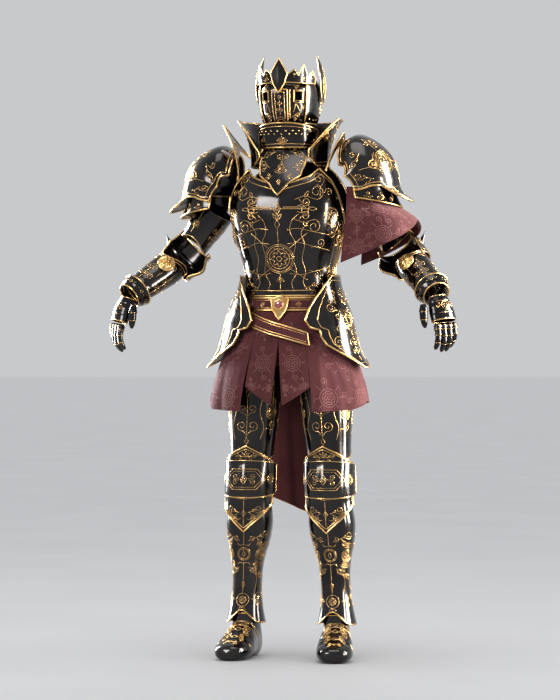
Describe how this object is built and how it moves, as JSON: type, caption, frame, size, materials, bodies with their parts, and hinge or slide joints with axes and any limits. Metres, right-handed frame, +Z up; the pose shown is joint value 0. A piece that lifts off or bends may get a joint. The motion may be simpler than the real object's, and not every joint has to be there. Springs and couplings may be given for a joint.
{
  "type": "suit of plate armour",
  "caption": "Standing harness of black plate armour with gilt edging, crowned closed helm, and red cloth skirt, back tail and half sleeve.",
  "frame": {"origin": "middle of the shoulder line inside the cuirass, 1.450 m above the soles, where the wearer's shoulders carry the harness", "axes": "+Z up from soles to horns, -Y the way the armour faces, +X to the armour's own left hand"},
  "size_m": [1.0918, 0.3715, 1.85],
  "materials": {
    "black_steel": "black enamelled steel, mirror polished, with raised gilt ornament and rolled gilt edges",
    "gilded_metal": "gilded, polished",
    "red_cloth": "matte woven wool-like cloth with a tone-on-tone rosette pattern"
  },
  "bodies": {
    "harness": {"helm_skull": "black_steel", "face_plate": "black_steel", "nose_guard": "black_steel", "crest_plate": "black_steel", "crown_band": "black_steel", "horn_left": "black_steel", "horn_right": "black_steel", "bevor": "black_steel", "collar": "black_steel", "neck_plate": "black_steel", "breastplate": "black_steel", "backplate": "black_steel", "neck_guard_right": "black_steel", "neck_guard_left": "black_steel", "pauldron_left": "black_steel", "pauldron_lame_left": "black_steel", "rerebrace_left": "black_steel", "couter_left": "black_steel", "hip_plate_left": "black_steel", "cuisse_left": "black_steel", "poleyn_upper_lame_left": "black_steel", "poleyn_left": "black_steel", "side_clasp_left": "gilded_metal", "pauldron_right": "black_steel", "pauldron_lame_right": "black_steel", "rerebrace_right": "black_steel", "couter_right": "black_steel", "hip_plate_right": "black_steel", "cuisse_right": "black_steel", "poleyn_upper_lame_right": "black_steel", "poleyn_right": "black_steel", "side_clasp_right": "gilded_metal", "belt_plate": "gilded_metal", "belt": "red_cloth", "hanging_strap": "red_cloth", "skirt_front_right": "red_cloth", "skirt_front_left": "red_cloth", "skirt_side_left": "red_cloth", "skirt_side_right": "red_cloth", "back_tail": "red_cloth", "shoulder_cloth_front": "red_cloth", "shoulder_cloth_back": "red_cloth"},
    "lower_arm_left": {"vambrace_left": "black_steel", "couter_disc_left": "gilded_metal", "gauntlet_cuff_left": "black_steel", "gauntlet_hand_left": "black_steel", "gauntlet_fingers_left": "black_steel", "gauntlet_thumb_left": "black_steel"},
    "lower_leg_left": {"greave_left": "black_steel", "sabaton_left": "black_steel", "poleyn_lower_lame_left": "black_steel"},
    "lower_arm_right": {"vambrace_right": "black_steel", "couter_disc_right": "gilded_metal", "gauntlet_cuff_right": "black_steel", "gauntlet_hand_right": "black_steel", "gauntlet_fingers_right": "black_steel", "gauntlet_thumb_right": "black_steel"},
    "lower_leg_right": {"greave_right": "black_steel", "sabaton_right": "black_steel", "poleyn_lower_lame_right": "black_steel"}
  },
  "joints": [
    {"name": "elbow_left", "type": "hinge", "parent": "harness", "child": "lower_arm_left", "pos_m": [0.35, 0.04, -0.212], "axis": [-0.7678, -0.15, -0.6229], "range_deg": [-30, 40]},
    {"name": "knee_left", "type": "hinge", "parent": "harness", "child": "lower_leg_left", "pos_m": [0.127, 0, -0.911], "axis": [1, 0, 0], "range_deg": [0, 45]},
    {"name": "elbow_right", "type": "hinge", "parent": "harness", "child": "lower_arm_right", "pos_m": [-0.35, 0.04, -0.212], "axis": [-0.7678, 0.15, 0.6229], "range_deg": [-30, 60]},
    {"name": "knee_right", "type": "hinge", "parent": "harness", "child": "lower_leg_right", "pos_m": [-0.127, 0, -0.911], "axis": [1, 0, 0], "range_deg": [0, 45]}
  ]
}
